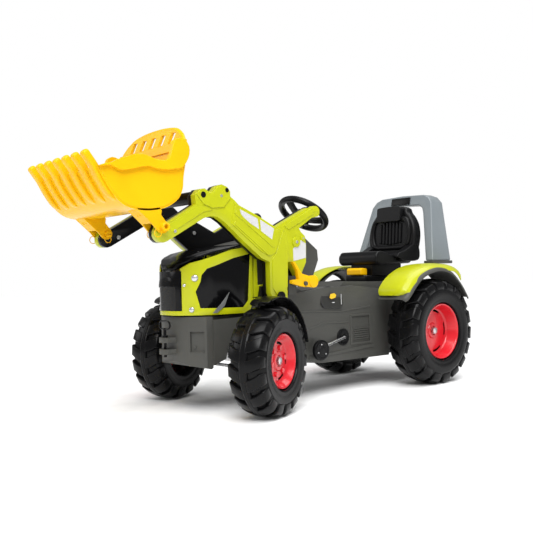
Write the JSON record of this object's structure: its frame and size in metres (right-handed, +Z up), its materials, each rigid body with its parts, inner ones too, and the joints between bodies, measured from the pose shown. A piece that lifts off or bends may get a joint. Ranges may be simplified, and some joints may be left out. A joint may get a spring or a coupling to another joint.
{
  "type": "toy front loader",
  "caption": "Child's ride-on pedal tractor with a front loader: lifting arms, tipping fingered bucket, steered front wheels, chain drive, sliding seat and roll bar.",
  "frame": {"origin": "on the ground, under the middle of the whole machine's footprint", "axes": "+Z up, +Y towards the rear of the tractor, +X towards the driver's left; the front, with the bucket, is -Y"},
  "size_m": [0.6462, 1.447, 0.768],
  "materials": {
    "green": "glossy lime-green blow-moulded plastic",
    "black_gloss": "glossy black plastic",
    "black": "satin black plastic",
    "tyre": "black blow-moulded plastic tyre with moulded lugs",
    "red": "glossy red moulded plastic",
    "grey": "matt dark-grey moulded plastic",
    "silver": "silver-grey plastic",
    "yellow": "glossy yellow plastic",
    "steel": "zinc-plated steel"
  },
  "bodies": {
    "chassis": {"chassis": "grey", "front_weight": "grey", "dash_cowl": "grey", "front_axle": "steel", "drive_chain": "steel", "crank_bearing_left": "black", "crank_bearing_right": "black", "rear_fender_left": "green", "rear_fender_right": "green", "fender_liner_left": "grey", "fender_liner_right": "grey", "roll_bar": "silver", "roll_bar_foot_left": "grey", "roll_bar_foot_right": "grey", "roll_bar_plate": "black", "seat_rail": "black", "rear_hitch": "black", "loader_console_left": "yellow", "loader_console_right": "yellow"},
    "bonnet": {"bonnet_frame": "green", "bonnet_top": "black_gloss", "grille": "grey", "bonnet_panel_left": "black_gloss", "bonnet_panel_right": "black_gloss"},
    "steering": {"steering_wheel": "black", "steering_shaft": "steel"},
    "steer_arm_left": {"knuckle_left": "steel", "front_fender_left": "black"},
    "steer_arm_right": {"knuckle_right": "steel", "front_fender_right": "black"},
    "tie_rod": {"tie_rod": "steel"},
    "front_wheel_left": {"front_tyre_left": "tyre", "front_rim_left": "red"},
    "front_wheel_right": {"front_tyre_right": "tyre", "front_rim_right": "red"},
    "rear_drive": {"rear_axle": "steel", "rear_sprocket": "steel", "rear_rim_left": "red", "rear_tyre_left": "tyre"},
    "rear_wheel_right": {"rear_rim_right": "red", "rear_tyre_right": "tyre"},
    "crank": {"crankset": "steel", "chainwheel": "steel"},
    "pedal_left": {"pedal_left": "black"},
    "pedal_right": {"pedal_right": "black"},
    "coupling_pin": {"coupling_pin": "black"},
    "seat": {"seat_pan": "black", "seat_back": "black"},
    "seat_release": {"seat_release": "yellow"},
    "lock_lever": {"lock_lever": "yellow"},
    "loader_arms": {"arm_shell_left": "green", "arm_shell_right": "green", "arm_liner_left": "black", "arm_liner_right": "black", "arm_cross_tube": "black"},
    "bucket": {"bucket": "yellow", "bucket_bracket_left": "yellow", "bucket_bracket_right": "yellow", "bucket_pin_left": "yellow", "bucket_pin_right": "yellow"}
  },
  "joints": [
    {"name": "bonnet_open", "type": "hinge", "parent": "chassis", "child": "bonnet", "pos_m": [0, -0.196, 0.47], "axis": [-1, 0, 0], "range_deg": [0, 25]},
    {"name": "steer_wheel", "type": "hinge", "parent": "chassis", "child": "steering", "pos_m": [0, 0.124, 0.571], "axis": [0, 0.5835, 0.8121], "range_deg": [-54, 4]},
    {"name": "steer_left", "type": "hinge", "parent": "chassis", "child": "steer_arm_left", "pos_m": [0.215, -0.242, 0.148], "axis": [0, 0, 1], "range_deg": [-44.8, 3.2]},
    {"name": "steer_right", "type": "hinge", "parent": "chassis", "child": "steer_arm_right", "pos_m": [-0.215, -0.242, 0.148], "axis": [0, 0, 1], "range_deg": [-44.8, 3.2]},
    {"name": "tie_rod_end", "type": "hinge", "parent": "steer_arm_left", "child": "tie_rod", "pos_m": [0.20293, -0.21022, 0.115], "axis": [0, 0, 1], "range_deg": [-3.2, 44.8]},
    {"name": "roll_front_left", "type": "hinge", "parent": "steer_arm_left", "child": "front_wheel_left", "pos_m": [0.22809, -0.23703, 0.148], "axis": [0.9348, 0.3551, 0], "continuous": true},
    {"name": "roll_front_right", "type": "hinge", "parent": "steer_arm_right", "child": "front_wheel_right", "pos_m": [-0.22809, -0.24697, 0.148], "axis": [0.9348, 0.3551, 0], "continuous": true},
    {"name": "drive", "type": "hinge", "parent": "chassis", "child": "rear_drive", "pos_m": [0, 0.504, 0.175], "axis": [1, 0, 0], "continuous": true},
    {"name": "roll_rear_right", "type": "hinge", "parent": "chassis", "child": "rear_wheel_right", "pos_m": [-0.209, 0.504, 0.175], "axis": [1, 0, 0], "continuous": true},
    {"name": "pedalling", "type": "hinge", "parent": "chassis", "child": "crank", "pos_m": [0, 0.173, 0.174], "axis": [1, 0, 0], "continuous": true},
    {"name": "pedal_spin_left", "type": "hinge", "parent": "crank", "child": "pedal_left", "pos_m": [0.142, 0.04633, 0.14476], "axis": [1, 0, 0], "continuous": true},
    {"name": "pedal_spin_right", "type": "hinge", "parent": "crank", "child": "pedal_right", "pos_m": [-0.142, 0.29967, 0.20324], "axis": [1, 0, 0], "continuous": true},
    {"name": "coupling_pull", "type": "slide", "parent": "chassis", "child": "coupling_pin", "axis": [0, 0, 1], "range_m": [0, 0.06]},
    {"name": "seat_slide", "type": "slide", "parent": "chassis", "child": "seat", "axis": [0, 1, 0], "range_m": [-0.04, 0.02]},
    {"name": "seat_latch", "type": "slide", "parent": "seat", "child": "seat_release", "axis": [0, 0, 1], "range_m": [0, 0.008], "stiffness_N_per_m": 60},
    {"name": "lock_swing", "type": "hinge", "parent": "chassis", "child": "lock_lever", "pos_m": [0.169, -0.045, 0.349], "axis": [1, 0, 0], "range_deg": [0, 28]},
    {"name": "lift", "type": "hinge", "parent": "chassis", "child": "loader_arms", "pos_m": [0, -0.13, 0.316], "axis": [1, 0, 0], "range_deg": [0, 57]},
    {"name": "tilt", "type": "hinge", "parent": "loader_arms", "child": "bucket", "pos_m": [0, -0.52, 0.502], "axis": [1, 0, 0], "range_deg": [0, 70]}
  ],
  "couplings": [
    {"joint": "steer_wheel", "follows": "steer_left", "ratio": 1.2},
    {"joint": "steer_right", "follows": "steer_left", "ratio": 1},
    {"joint": "tie_rod_end", "follows": "steer_left", "ratio": -1},
    {"joint": "pedalling", "follows": "drive", "ratio": 0.6957}
  ]
}
